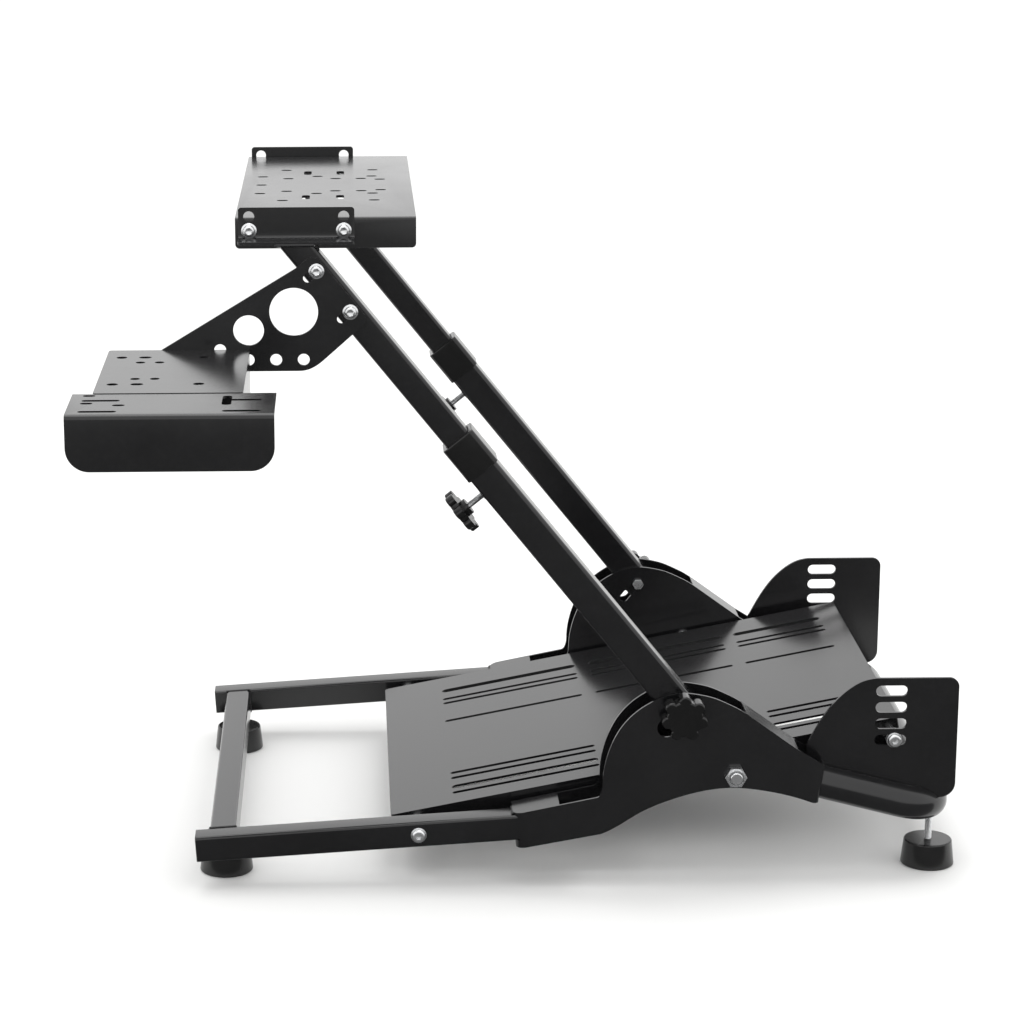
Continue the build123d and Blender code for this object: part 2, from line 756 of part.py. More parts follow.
# Upper leg tube, cut level under the wheel plate's side bracket
with BuildPart() as upper_tube:
    with BuildSketch(leg_plane(upper_tube_start)):
        square_tube(inner_tube, tube_wall)
    extrude(amount=(side_bracket_seat - pivot_z) / leg_sin + inner_tube - upper_tube_start)
    split(bisect_by=top.offset(side_bracket_seat), keep=Keep.BOTTOM)
save(mirror(upper_tube.part, about=middle), "left_upper_tube")
with BuildPart() as right_upper_tube:
    add(upper_tube.part)
    with BuildSketch(side.offset(leg_y)):
        with Locations(*[leg_point(s) for s in gusset_bolt_s]):
            Circle(gusset_bolt_r + pin_gap)
    extrude(amount=inner_tube, mode=Mode.SUBTRACT)
save(right_upper_tube.part, "right_upper_tube")

# Side bracket: angle that joins a leg to the wheel plate
with BuildPart() as side_bracket:
    with BuildSketch(side.offset(wheel_plate_half_y)):
        with BuildLine():
            Polyline(
                (side_bracket_x0, side_bracket_seat),
                (side_bracket_x1, side_bracket_seat),
                (side_bracket_x1, side_bracket_top),
                (side_bracket_x0, side_bracket_top),
                close=True,
            )
        make_face()
        with Locations((side_bolt_rear_x, side_bolt_z), (side_bolt_front_x, side_bolt_z)):
            Circle(side_bolt_hole_r, mode=Mode.SUBTRACT)
        with Locations((side_bolt_rear_x, side_hole_z), (side_bolt_front_x, side_hole_z)):
            Circle(side_hole_r, mode=Mode.SUBTRACT)
    extrude(amount=sheet)
    fillet(side_bracket.edges().filter_by(Axis.Y).group_by(Axis.Z)[-1], radius=3)
    with BuildSketch(top.offset(side_bracket_seat)):
        with Locations(
            ((side_bracket_x0 + side_bracket_x1) / 2, -(wheel_plate_half_y + side_bracket_reach) / 2)
        ):
            Rectangle(side_bracket_x1 - side_bracket_x0, side_bracket_reach - wheel_plate_half_y)
    extrude(amount=sheet)
    fillet(side_bracket.edges().filter_by(Axis.Z).group_by(Axis.Y)[0], radius=3)
    bend_inside = side_bracket.edges().filter_by(Axis.X).sort_by_distance(
        right_point(side_bracket_x0 + 20, side_bracket_seat + sheet, wheel_plate_half_y + sheet)
    )[0]
    fillet(bend_inside, radius=side_bracket_bend_r)
save_pair(side_bracket.part, "side_bracket")

# Wheel plate: channel with slotted holes for many wheel bases
wheel_mid_x = (wheel_plate_x0 + wheel_plate_x1) / 2
with BuildPart() as wheel_plate:
    with BuildSketch(top.offset(wheel_plate_z - wheel_plate_drop)):
        with Locations((wheel_mid_x, 0)):
            Rectangle(wheel_plate_x1 - wheel_plate_x0, 2 * wheel_plate_half_y)
    extrude(amount=wheel_plate_drop)
    fillet(wheel_plate.edges().filter_by(Axis.X).group_by(Axis.Z)[-1], radius=sheet)
    with BuildSketch(top.offset(wheel_plate_z - wheel_plate_drop)):
        with Locations((wheel_mid_x, 0)):
            Rectangle(wheel_plate_x1 - wheel_plate_x0, 2 * (wheel_plate_half_y - sheet))
    extrude(amount=wheel_plate_drop - sheet, mode=Mode.SUBTRACT)
    fillet(wheel_plate.edges().filter_by(Axis.Y).group_by(Axis.Z)[0], radius=wheel_plate_corner_r)
    with BuildSketch(top.offset(wheel_plate_z)):
        with Locations(
            (60.7, 103.0),
            (60.7, -103.0),
            (147.0, 103.0),
            (147.0, -103.0),
            (38.2, 57.0),
            (38.2, -57.0),
            (92.2, 58.4),
            (92.2, -58.4),
            (145.7, 58.4),
            (145.7, -58.4),
            (63.5, 43.0),
            (63.5, -43.0),
            (110.2, 42.0),
            (110.2, -42.0),
            (135.0, 42.0),
            (135.0, -42.0),
            (153.7, 36.0),
            (153.7, -36.0),
            (38.2, 0.0),
        ):
            SlotOverall(wheel_slot_length, wheel_slot_width)
        with Locations((82.4, 82.5), (82.4, -82.5), (114.8, 82.5), (114.8, -82.5)):
            SlotOverall(25.0, 7.5, rotation=90)
    extrude(amount=-sheet, mode=Mode.SUBTRACT)
    with BuildSketch(side.offset(-wheel_plate_half_y)):
        with Locations((side_bolt_rear_x, side_bolt_z), (side_bolt_front_x, side_bolt_z)):
            Circle(side_bolt_hole_r)
    extrude(amount=2 * wheel_plate_half_y, mode=Mode.SUBTRACT)
save(wheel_plate.part, "wheel_plate")

# Gusset plate on the right leg, with lightening holes and a row of shelf holes
with BuildPart() as gusset:
    with BuildSketch(shelf_side.offset(gusset_y)) as gusset_outline:
        with BuildLine():
            Polyline(
                (-52.0, -20.3),
                (-52.0, -2.7),
                shelf_point(gusset_top_s, gusset_inside),
                shelf_point(gusset_top_s, -gusset_outside),
                shelf_point(gusset_low_s, -gusset_outside),
                shelf_point(gusset_low_s, gusset_inside),
                (100.0, -9.7),
            )
            Spline((100.0, -9.7), (90.5, -16.7), (77.0, -20.3), tangents=((-0.75, -0.66), (-1, 0)))
            Line((77.0, -20.3), (-52.0, -20.3))
        make_face()
        fillet(
            gusset_outline.vertices().sort_by_distance(shelf_point(gusset_top_s, -gusset_outside))[0],
            radius=9,
        )
        fillet(
            gusset_outline.vertices().sort_by_distance(shelf_point(gusset_low_s, -gusset_outside))[0],
            radius=9,
        )
        with Locations((72.4, 34.1)):
            Circle(22, mode=Mode.SUBTRACT)
        with Locations((31.4, 17.4)):
            Circle(13.9, mode=Mode.SUBTRACT)
        with Locations(*[(x, -gusset_row_below) for x in gusset_row]):
            Circle(gusset_row_r, mode=Mode.SUBTRACT)
        with Locations((gusset_slot_x, gusset_slot_rise / 2 - gusset_row_below)):
            SlotCenterToCenter(gusset_slot_rise, 2 * gusset_row_r, rotation=90, mode=Mode.SUBTRACT)
        with Locations((gusset_slot_x - shelf_hole_pitch, -gusset_row_below)):
            Circle(shelf_hole_r, mode=Mode.SUBTRACT)
        for s in gusset_bolt_s:
            slot_end = inner_tube / 2 + gusset_slot_margin - gusset_bolt_r - seat_gap
            slot_middle = shelf_point(s, (slot_end - 1.5) / 2)
            with Locations(slot_middle):
                SlotCenterToCenter(
                    slot_end + 1.5,
                    2 * (gusset_bolt_r + seat_gap),
                    rotation=90 - leg_angle,
                    mode=Mode.SUBTRACT,
                )
    extrude(amount=gusset_sheet)
save(gusset.part, "shifter_gusset")

# Gear lever shelf, folded down on three sides
shelf_mid_x = (shelf_x0 + shelf_x1) / 2
with BuildPart() as shelf:
    with BuildSketch(shelf_top):
        with Locations((shelf_mid_x, -shelf_y - shelf_depth / 2)):
            RectangleRounded(shelf_x1 - shelf_x0, shelf_depth, 3)
    extrude(amount=-thin_sheet)
    with BuildSketch(shelf_top.offset(-thin_sheet / 2)):
        with Locations((shelf_x1 - thin_sheet / 2, -shelf_y - shelf_depth / 2)):
            Rectangle(thin_sheet, shelf_depth - 8)
    extrude(amount=thin_sheet / 2 - shelf_end_drop)
    with BuildSketch(shelf_top.offset(-thin_sheet / 2)):
        with Locations(
            (shelf_mid_x + 14, -shelf_y - thin_sheet / 2),
            (shelf_mid_x + 14, -shelf_y - shelf_depth + thin_sheet / 2),
        ):
            Rectangle(shelf_x1 - shelf_x0 - 34, thin_sheet)
    extrude(amount=thin_sheet / 2 - shelf_side_drop)
    with BuildSketch(shelf_top):
        with Locations((-81.0, -271.0), (-81.0, -387.0), (-7.0, -271.0), (-7.0, -387.0)):
            Circle(4.8)
        with Locations((-60.0, -271.0), (-60.0, -387.0)):
            SlotOverall(11.0, 8.5)
        with Locations((-63.0, -293.5), (-63.0, -364.5), (-46.0, -293.5), (-46.0, -364.5)):
            Circle(4.2)
    extrude(amount=-thin_sheet, mode=Mode.SUBTRACT)
    with BuildSketch(shelf_side.offset(shelf_y)):
        with Locations((gusset_slot_x - shelf_hole_pitch / 2, -gusset_row_below)):
            with GridLocations(shelf_hole_pitch, 0, 2, 1):
                Circle(shelf_hole_r)
    extrude(amount=thin_sheet, mode=Mode.SUBTRACT)
save(shelf.part, "shifter_shelf")

# Lip: slotted angle at the shelf's outer edge
with BuildPart() as lip:
    with BuildSketch(shelf_top.offset(-lip_below_shelf)):
        with Locations(((lip_x0 + lip_x1) / 2, -lip_y - lip_depth / 2)):
            Rectangle(lip_x1 - lip_x0, lip_depth)
    extrude(amount=-thin_sheet)
    with BuildSketch(shelf_side.offset(lip_y + lip_depth - thin_sheet)):
        with BuildLine():
            Polyline(
                (lip_x0, -lip_below_shelf - lip_drop + lip_corner_r),
                (lip_x0, -lip_below_shelf),
                (lip_x1, -lip_below_shelf),
                (lip_x1, -lip_below_shelf - lip_drop + lip_corner_r),
            )
            JernArc((lip_x1, -lip_below_shelf - lip_drop + lip_corner_r), (0, -1), lip_corner_r, -90)
            Line(
                (lip_x1 - lip_corner_r, -lip_below_shelf - lip_drop),
                (lip_x0 + lip_corner_r, -lip_below_shelf - lip_drop),
            )
            JernArc((lip_x0 + lip_corner_r, -lip_below_shelf - lip_drop), (-1, 0), lip_corner_r, -90)
        make_face()
    extrude(amount=thin_sheet)
    with BuildSketch(shelf_side.offset(lip_y)):
        with Locations((shelf_mid_x + 14, -lip_below_shelf - 12)):
            Rectangle(shelf_x1 - shelf_x0 - 34, 24)
    extrude(amount=thin_sheet)
    fillet(lip.edges().filter_by(Axis.X).group_by(Axis.Z)[-1].sort_by(Axis.Y)[0], radius=lip_bend_r)
    with BuildSketch(shelf_top.offset(-lip_below_shelf)):
        with Locations((-97.2, -431.0), (-97.2, -461.2), (-69.9, -468.8)):
            SlotOverall(10.5, 6.5)
        with Locations((-86.0, -450.4), (-86.0, -493.1), (33.0, -450.4), (33.0, -493.1)):
            SlotOverall(32.0, 6.5)
        with Locations((19.7, -452.0)):
            SlotOverall(36.0, 8.0, rotation=90)
    extrude(amount=-thin_sheet, mode=Mode.SUBTRACT)
save(lip.part, "shifter_lip")
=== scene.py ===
"""Racing wheel stand: finishes, fine edges, small screws, threads and welds, camera and light.

Metres, +X forward, +Y to the driver's left, +Z up, the floor at z 0.
"""
import json
import math

import bmesh
import bpy
import numpy as np
from mathutils import Matrix, Vector


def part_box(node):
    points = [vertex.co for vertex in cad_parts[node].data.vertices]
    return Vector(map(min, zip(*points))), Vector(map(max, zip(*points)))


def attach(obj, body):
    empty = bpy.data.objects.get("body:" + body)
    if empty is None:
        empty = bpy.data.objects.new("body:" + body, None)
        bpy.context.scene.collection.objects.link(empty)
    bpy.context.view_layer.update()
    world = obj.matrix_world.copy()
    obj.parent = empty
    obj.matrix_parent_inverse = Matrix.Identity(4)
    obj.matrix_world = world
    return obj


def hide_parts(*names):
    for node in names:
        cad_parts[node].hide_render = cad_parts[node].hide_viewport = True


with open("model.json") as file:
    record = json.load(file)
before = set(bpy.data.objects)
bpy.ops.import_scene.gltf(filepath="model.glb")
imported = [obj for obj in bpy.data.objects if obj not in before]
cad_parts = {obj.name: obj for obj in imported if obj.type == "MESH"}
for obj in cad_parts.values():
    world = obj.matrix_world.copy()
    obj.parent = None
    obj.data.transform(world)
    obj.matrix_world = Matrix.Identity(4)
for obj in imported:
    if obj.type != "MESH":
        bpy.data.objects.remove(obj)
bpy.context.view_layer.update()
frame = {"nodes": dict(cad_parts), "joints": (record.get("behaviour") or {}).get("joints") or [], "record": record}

MM = 0.001
TURN = 2 * np.pi
UPWARD = (0, 0, 1)

# What the frame gives: the legs' hinge and directions, and each node's body and finish
JOINTS = {joint["name"]: joint for joint in frame["joints"]}
HINGE = Vector(JOINTS["leg_tilt"]["pos_m"])
UP_LEG = Vector(JOINTS["leg_extension"]["axis"]).normalized()
UNDER_LEG = Vector((-UP_LEG.z, 0, UP_LEG.x))
SIDES = (("right", -1), ("left", 1))
BODIES = frame["record"]["behaviour"]["bodies"]
SLOT_OF = {row["node"]: row["material_slot"] for row in frame["record"]["subparts"]}
BLACK, PLASTIC, ZINC, RUBBER = "black_coat", "black_plastic", "bright_zinc", "black_rubber"


# Finishes: widths of the slow changes of tone and of the specks, and shares of dust and wear
TONE_PATCH = 71.43 * MM
SPECK = 4.5455 * MM
DUST = 0.10
FACE_WEAR, EDGE_WEAR = 0.05, 0.7


def linear(code):
    """Linear RGBA of an sRGB hex colour."""
    c = np.array([int(code[k:k + 2], 16) for k in (0, 2, 4)]) / 255
    c = np.where(c <= 0.04045, c / 12.92, ((c + 0.055) / 1.055) ** 2.4)
    return (*c.tolist(), 1.0)


def add(tree, kind, values=None, links=None, **settings):
    """Add a shader node with its settings, socket values and links."""
    item = tree.nodes.new(kind)
    for key, value in settings.items():
        setattr(item, key, value)
    for key, value in (values or {}).items():
        item.inputs[key].default_value = value
    for key, source in (links or {}).items():
        tree.links.new(source, item.inputs[key])
    return item


def out(node, kind="RGBA"):
    """First live output of a node with that kind of value."""
    return next(o for o in node.outputs if o.enabled and o.type == kind)


def material(name, dark, light, rough, grain, grain_depth, worn, worn_rough, wear, metallic=0.0, ior=None):
    """Procedural finish, its grain in millimetres.

    Tone and gloss change slowly over TONE_PATCH, the grain is a bump of real width and depth, wear shows in
    specks up to its share, and faces that look up carry a thin uneven film of dust."""
    mat = bpy.data.materials.new(name)
    mat.use_nodes = True
    tree = mat.node_tree
    tree.nodes.clear()
    place = add(tree, "ShaderNodeTexCoord").outputs["Object"]
    geometry = add(tree, "ShaderNodeNewGeometry")
    broad = add(tree, "ShaderNodeTexNoise", {"Scale": 1 / TONE_PATCH, "Detail": 4.0, "Roughness": 0.6},
                {"Vector": place})
    fine = add(tree, "ShaderNodeTexNoise", {"Scale": 1 / (grain * MM), "Detail": 2.0}, {"Vector": place})
    specks = add(tree, "ShaderNodeTexNoise", {"Scale": 1 / SPECK, "Detail": 3.0, "Roughness": 0.7},
                 {"Vector": place})
    tone = add(tree, "ShaderNodeValToRGB", None, {"Fac": out(broad, "VALUE")})
    low_tone, high_tone = tone.color_ramp.elements
    low_tone.position, high_tone.position = 0.35, 0.65
    low_tone.color, high_tone.color = linear(dark), linear(light)
    spots = add(tree, "ShaderNodeMapRange", {"From Min": 0.48, "From Max": 0.66, "To Max": wear},
                {"Value": out(specks, "VALUE")})
    facing = add(tree, "ShaderNodeSeparateXYZ", None, {0: geometry.outputs["True Normal"]})
    upward = add(tree, "ShaderNodeMapRange", {"From Min": 0.6, "From Max": 1.0, "To Max": DUST},
                 {"Value": facing.outputs[2]})
    dust = add(tree, "ShaderNodeMath", None, {0: upward.outputs[0], 1: out(specks, "VALUE")},
               operation="MULTIPLY")
    mark = add(tree, "ShaderNodeMath", None, {0: spots.outputs[0], 1: dust.outputs[0]}, operation="MAXIMUM")
    colour = add(tree, "ShaderNodeMixRGB", {"Color2": linear(worn)},
                 {"Fac": mark.outputs[0], "Color1": tone.outputs[0]})
    gloss = add(tree, "ShaderNodeMapRange",
                {"From Min": 0.3, "From Max": 0.7, "To Min": rough[0], "To Max": rough[1]},
                {"Value": out(broad, "VALUE")})
    roughness = add(tree, "ShaderNodeMath", {1: worn_rough}, {0: mark.outputs[0], 2: gloss.outputs[0]},
                    operation="MULTIPLY_ADD")
    bump = add(tree, "ShaderNodeBump", {"Strength": 1.0, "Distance": grain_depth * MM},
               {"Height": out(fine, "VALUE")})
    shader = add(tree, "ShaderNodeBsdfPrincipled", {"Metallic": metallic},
                 {"Base Color": colour.outputs[0], "Roughness": roughness.outputs[0],
                  "Normal": bump.outputs[0]})
    if ior:
        shader.inputs["IOR"].default_value = ior
    add(tree, "ShaderNodeOutputMaterial", None, {"Surface": shader.outputs[0]})
    return mat


FINISHES = {
    # Powder coat baked on steel: deep black, an even satin gloss over an orange peel about a millimetre wide
    BLACK: {"name": "black_powder_coat", "dark": "101011", "light": "141415", "rough": (0.17, 0.20),
            "ior": 1.5, "grain": 1.3, "grain_depth": 0.003, "worn": "3A3A3B", "worn_rough": 0.12},
    # Filled polyamide from an eroded mould: blacker than the coat, with a soft sheen along round edges
    PLASTIC: {"name": "black_moulded_plastic", "dark": "060606", "light": "0A0A0A", "rough": (0.17, 0.22),
              "ior": 1.47, "grain": 0.7, "grain_depth": 0.010, "worn": "2A2A2A", "worn_rough": 0.15},
    # Bright zinc plate on steel: a light grey metal that blurs what it mirrors a little
    ZINC: {"name": "bright_zinc_plate", "dark": "D2D3D4", "light": "E2E3E4", "rough": (0.22, 0.30),
           "metallic": 1.0, "grain": 0.5, "grain_depth": 0.002, "worn": "9A9B9C", "worn_rough": 0.2},
    # Moulded rubber: black and even, its sheen duller than the plastic's
    RUBBER: {"name": "black_rubber", "dark": "070707", "light": "0B0B0B", "rough": (0.22, 0.28),
             "ior": 1.52, "grain": 0.8, "grain_depth": 0.010, "worn": "242424", "worn_rough": 0.15},
}
MATERIALS = {slot: material(**finish, wear=FACE_WEAR) for slot, finish in FINISHES.items()}
EDGE_MATERIALS = {slot: material(**{**finish, "name": finish["name"] + "_edge"}, wear=EDGE_WEAR)
                  for slot, finish in FINISHES.items()}


# Surfaces as functions of two parameters, and the counts of their sides
SMOOTH_ANGLE = math.radians(35)
SCREW_SIDES, WASHER_SIDES, THREAD_SIDES, BEAD_SIDES = 48, 40, 28, 8
ROWS_PER_THREAD = 8


def body_of(node):
    """Body that a CAD node belongs to."""
    return next(body for body, names in BODIES.items() if node in names)


def finish_piece(name, mesh, body, slot):
    """Put a mesh in the scene as a piece of the stand, smooth except at its sharp edges."""
    mesh.validate()
    mesh.shade_smooth()
    mesh.set_sharp_from_angle(angle=SMOOTH_ANGLE)
    mesh.materials.append(MATERIALS[slot])
    obj = bpy.data.objects.new(name, mesh)
    bpy.context.scene.collection.objects.link(obj)
    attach(obj, body)
    return obj


def grid_piece(name, points, body, slot, caps=()):
    """Piece from a grid of points, shape (rows, columns, 3), closed round its columns.

    Quad (i, j) joins rows i and i + 1 and columns j and j + 1. caps lists the rows that get an end face."""
    rows, columns = points.shape[:2]
    row, column = np.meshgrid(np.arange(rows - 1), np.arange(columns), indexing="ij")
    here, beside = row * columns + column, row * columns + (column + 1) % columns
    faces = np.stack([here, beside, beside + columns, here + columns], -1).reshape(-1, 4).tolist()
    for end in caps:
        ring = list(range(end * columns, (end + 1) * columns))
        faces.append(ring if end else ring[::-1])
    mesh = bpy.data.meshes.new(name)
    mesh.from_pydata(points.reshape(-1, 3).tolist(), [], faces)
    return finish_piece(name, mesh, body, slot)


def circle_round(axis, sides):
    """Angles a, the unit circle C(a) = cos a e1 + sin a e2 square to an axis, and the unit axis e3."""
    axis = Vector(axis).normalized()
    first = axis.orthogonal().normalized()
    angle = np.linspace(0, TURN, sides, endpoint=False)
    circle = np.cos(angle)[:, None] * np.array(first) + np.sin(angle)[:, None] * np.array(axis.cross(first))
    return angle, circle, np.array(axis)


def turned(profile, place, axis, sides, hexes=()):
    """Surface of revolution about an axis through place: P(k, a) = place + r_k C(a) + h_k e3.

    Row k of profile is (radius, height) in millimetres. Rows listed in hexes are hexagons of that half
    width: r(a) = radius / cos(((a + 30 deg) mod 60 deg) - 30 deg)."""
    profile = np.array(profile, float) * MM
    angle, circle, along = circle_round(axis, sides)
    radius = np.repeat(profile[:, :1], sides, 1)
    for row in hexes:
        radius[row] = profile[row, 0] / np.cos((angle + np.pi / 6) % (np.pi / 3) - np.pi / 6)
    return np.array(place) + radius[..., None] * circle + profile[:, 1][:, None, None] * along


def swept(path, radius):
    """Round bead along a path that is nowhere upright: P(i, a) = path_i + radius_i (cos a n_i + sin a b_i).

    n_i is level and square to the path, and b_i is square to the path and to n_i."""
    tangent = np.gradient(path, axis=0)
    tangent /= np.linalg.norm(tangent, axis=1, keepdims=True)
    normal = np.cross(tangent, np.array(UPWARD))
    normal /= np.linalg.norm(normal, axis=1, keepdims=True)
    binormal = np.cross(tangent, normal)
    angle = np.linspace(0, TURN, BEAD_SIDES, endpoint=False)[None, :, None]
    ring = np.cos(angle) * normal[:, None] + np.sin(angle) * binormal[:, None]
    return path[:, None] + radius[:, None, None] * ring


# Pieces of the frame, with fine edge radii in millimetres, except the rods that get their threads below
THREADED = ("height_bolt", "rear_foot_stud", "front_foot_stud")
EDGE_RADIUS = {"pedal_plate": 0.05, "wheel_plate": 0.2, "shifter": 0.2, "knob": 0.7, "collar": 0.5,
               "foot": 0.5, "bolt": 0.35, "plate": 0.35, "bracket": 0.4}
TUBE_EDGE_RADIUS = 0.45
PEDAL_FILM = 0.12
MERGE_DISTANCE = 2e-6
FLAT_ANGLE = math.radians(0.5)
EDGE_ANGLE = math.radians(30)


def coat(work, film):
    """Move every face of a mesh outward by film millimetres, the thickness of its paint.

    Each point moves by the vector whose share along every normal of its faces is the film, by least
    squares."""
    work.normal_update()
    moves = []
    for point in work.verts:
        normals = np.array([tuple(face.normal) for face in point.link_faces])
        moves.append(np.linalg.lstsq(normals, np.full(len(normals), film * MM), rcond=1e-3)[0])
    for point, move in zip(work.verts, moves):
        point.co += Vector(move)


def soften(node, radius, film):
    """A copy of a CAD piece with merged points, coated, and its edges rounded by radius millimetres."""
    mesh = frame["nodes"][node].data.copy()
    mesh.name = node + "_finish"
    if "custom_normal" in mesh.attributes:
        mesh.attributes.remove(mesh.attributes["custom_normal"])
    work = bmesh.new()
    work.from_mesh(mesh)
    bmesh.ops.remove_doubles(work, verts=work.verts, dist=MERGE_DISTANCE)
    bmesh.ops.dissolve_limit(work, angle_limit=FLAT_ANGLE, verts=work.verts, edges=work.edges)
    if film:
        coat(work, film)
    work.to_mesh(mesh)
    work.free()
    mesh.materials.clear()
    obj = finish_piece(node + "_finish", mesh, body_of(node), SLOT_OF[node])
    mesh.materials.append(EDGE_MATERIALS[SLOT_OF[node]])
    bevel = obj.modifiers.new("edges", "BEVEL")
    bevel.width = radius * MM
    bevel.segments = 2
    bevel.limit_method = "ANGLE"
    bevel.angle_limit = EDGE_ANGLE
    bevel.harden_normals = True
    bevel.use_clamp_overlap = True
    bevel.material = 1
    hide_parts(node)


for node in sorted(frame["nodes"]):
    if not node.endswith(THREADED):
        edge_radius = next((size for word, size in EDGE_RADIUS.items() if word in node), TUBE_EDGE_RADIUS)
        soften(node, edge_radius, PEDAL_FILM if node == "pedal_plate" else 0)


# Small screws, nuts and washers, as profiles of (radius, height) in millimetres
BUTTON = ((7.0, 0.0), (7.0, 0.9), (6.6, 1.3), (5.5, 1.5), (5.3, 2.2), (4.9, 3.2), (4.2, 4.0), (3.3, 4.4),
          (2.9, 4.4), (2.6, 4.1), (2.6, 1.9), (1.2, 1.5), (0.2, 1.45))
BUTTON_SOCKET = (8, 9, 10)
NUT = ((4.2, 0.0), (6.0, 0.0), (6.5, 0.4), (6.5, 5.6), (5.9, 6.0), (4.3, 6.0), (4.0, 5.6), (3.9, 6.6),
       (3.4, 7.2), (0.2, 7.2))
NUT_FLATS = (1, 2, 3, 4)
WASHER = ((4.2, 0.0), (8.0, 0.0), (8.0, 1.4), (7.8, 1.6), (4.2, 1.6))
WASHER_THICKNESS = 1.6 * MM

# Places of the screws, from the pieces that they hold
PLATE_SHEET = 2.5 * MM
PLATE_SCREW_INSET = 9.7 * MM
PLATE_SCREW_DROP = 11.4 * MM
GUSSET_SCREWS_UP_LEG = {"low": 571.3 * MM, "high": 619.5 * MM}
SHELF_SHEET = 2.0 * MM
SHELF_SCREWS_FROM_FRONT = {"rear": 50.9 * MM, "front": 26.9 * MM}
SHELF_SCREW_DROP = 9.8 * MM


def on_leg(side_name, distance, under=0.0):
    """Point of a leg at rest, at a distance up its axis from the hinge and at one under the axis."""
    low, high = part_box(f"{side_name}_upper_tube")
    point = HINGE + distance * UP_LEG + under * UNDER_LEG
    point.y = (low.y + high.y) / 2
    return point


def screw(name, head, outward, grip):
    """Button-head screw seated at the point head, with its washer and nut on the far side of its grip."""
    head, outward = Vector(head), Vector(outward)
    washer = head - grip * outward
    nut = washer - WASHER_THICKNESS * outward
    grid_piece(name, turned(BUTTON, head, outward, SCREW_SIDES, BUTTON_SOCKET), "wheel_frame", ZINC,
               caps=(0, len(BUTTON) - 1))
    grid_piece(name + "_washer", turned(WASHER, washer, -outward, WASHER_SIDES), "wheel_frame", ZINC)
    grid_piece(name + "_nut", turned(NUT, nut, -outward, SCREW_SIDES, NUT_FLATS), "wheel_frame", ZINC,
               caps=(len(NUT) - 1,))


plate_low, plate_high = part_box("wheel_plate")
for side_name, sign in SIDES:
    low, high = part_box(f"{side_name}_side_bracket")
    face_y = HINGE.y + sign * ((plate_high.y - plate_low.y) / 2 + PLATE_SHEET)
    screw_z = plate_high.z - PLATE_SCREW_DROP
    for place_name, x in (("rear", low.x + PLATE_SCREW_INSET), ("front", high.x - PLATE_SCREW_INSET)):
        screw(f"{side_name}_{place_name}_plate_screw", (x, face_y, screw_z), (0, sign, 0), 2 * PLATE_SHEET)

gusset_low, gusset_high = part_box("shifter_gusset")
tube_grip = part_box("right_upper_tube")[1].y - gusset_low.y
for place_name, distance in GUSSET_SCREWS_UP_LEG.items():
    point = on_leg("right", distance)
    screw(f"gusset_{place_name}_screw", (point.x, gusset_low.y, point.z), (0, -1, 0), tube_grip)

shelf_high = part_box("shifter_shelf")[1]
shelf_grip = gusset_high.y - gusset_low.y + SHELF_SHEET
for place_name, back in SHELF_SCREWS_FROM_FRONT.items():
    screw(f"shelf_{place_name}_screw",
          (shelf_high.x - back, gusset_low.y - SHELF_SHEET, shelf_high.z - SHELF_SCREW_DROP),
          (0, -1, 0), shelf_grip)


# Threads of the height bolts and the foot studs
THREAD_DEPTH_SHARE = 0.3
HEIGHT_BOLT_UP_LEG = 359.5 * MM
HEIGHT_BOLT_START = 12.6 * MM
HEIGHT_BOLT = {"length": 24.4 * MM, "radius": 3.0 * MM, "pitch": 1.0 * MM}
STUD_LENGTHS = {"rear": 26.1 * MM, "front": 49.6 * MM}
STUD_RADIUS = 3.5 * MM
STUD_PITCH = 1.25 * MM


def threaded(node, place, axis, length, radius, pitch):
    """Stud with a rolled thread: P(h, a) = place + r(h, a) C(a) + h e3.

    r(h, a) = radius - depth (0.5 - 0.5 cos(2 pi h / pitch - a)), and the depth, a share of the pitch, runs
    out over one pitch at both ends."""
    rows = int(length / pitch * ROWS_PER_THREAD)
    height = np.linspace(0, length, rows)[:, None]
    angle, circle, along = circle_round(axis, THREAD_SIDES)
    depth = THREAD_DEPTH_SHARE * pitch * np.clip(np.minimum(height, length - height) / pitch, 0, 1)
    reach = radius - depth * (0.5 - 0.5 * np.cos(TURN * height / pitch - angle))
    points = np.array(place) + reach[..., None] * circle + height[..., None] * along
    obj = grid_piece(node + "_thread", points, body_of(node), ZINC, caps=(0, rows - 1))
    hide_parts(node)


# Weld beads, rippled along their length
CORNERS = ((-1, -1), (1, -1), (1, 1), (-1, 1))
BEAD_RADIUS, THIN_BEAD_RADIUS = 1.8 * MM, 1.0 * MM
BEAD_RIPPLE = 1.9 * MM
RIPPLE_SHARE = 0.14
BEAD_STEP = 0.6 * MM

# Places of the beads: the cross tube lies at the rails' slope, and the legs' tops are cut on a slant
RAIL_SLOPE = 0.064
CROSS_TUBE_HALF = 12.5 * MM
CROSS_BEAD_INSET = 0.4 * MM
LEG_CUT_HALF = 16.05 * MM
LEG_BEAD_HALF = (16.4 * MM, 12.8 * MM)
LEG_BEAD_DROP = 0.6 * MM
WEB_BEAD_FROM_BRACKET = (0.1 * MM, 32.8 * MM)
WEB_BEAD_FROM_MIDDLE = (215.0 * MM, 235.0 * MM)


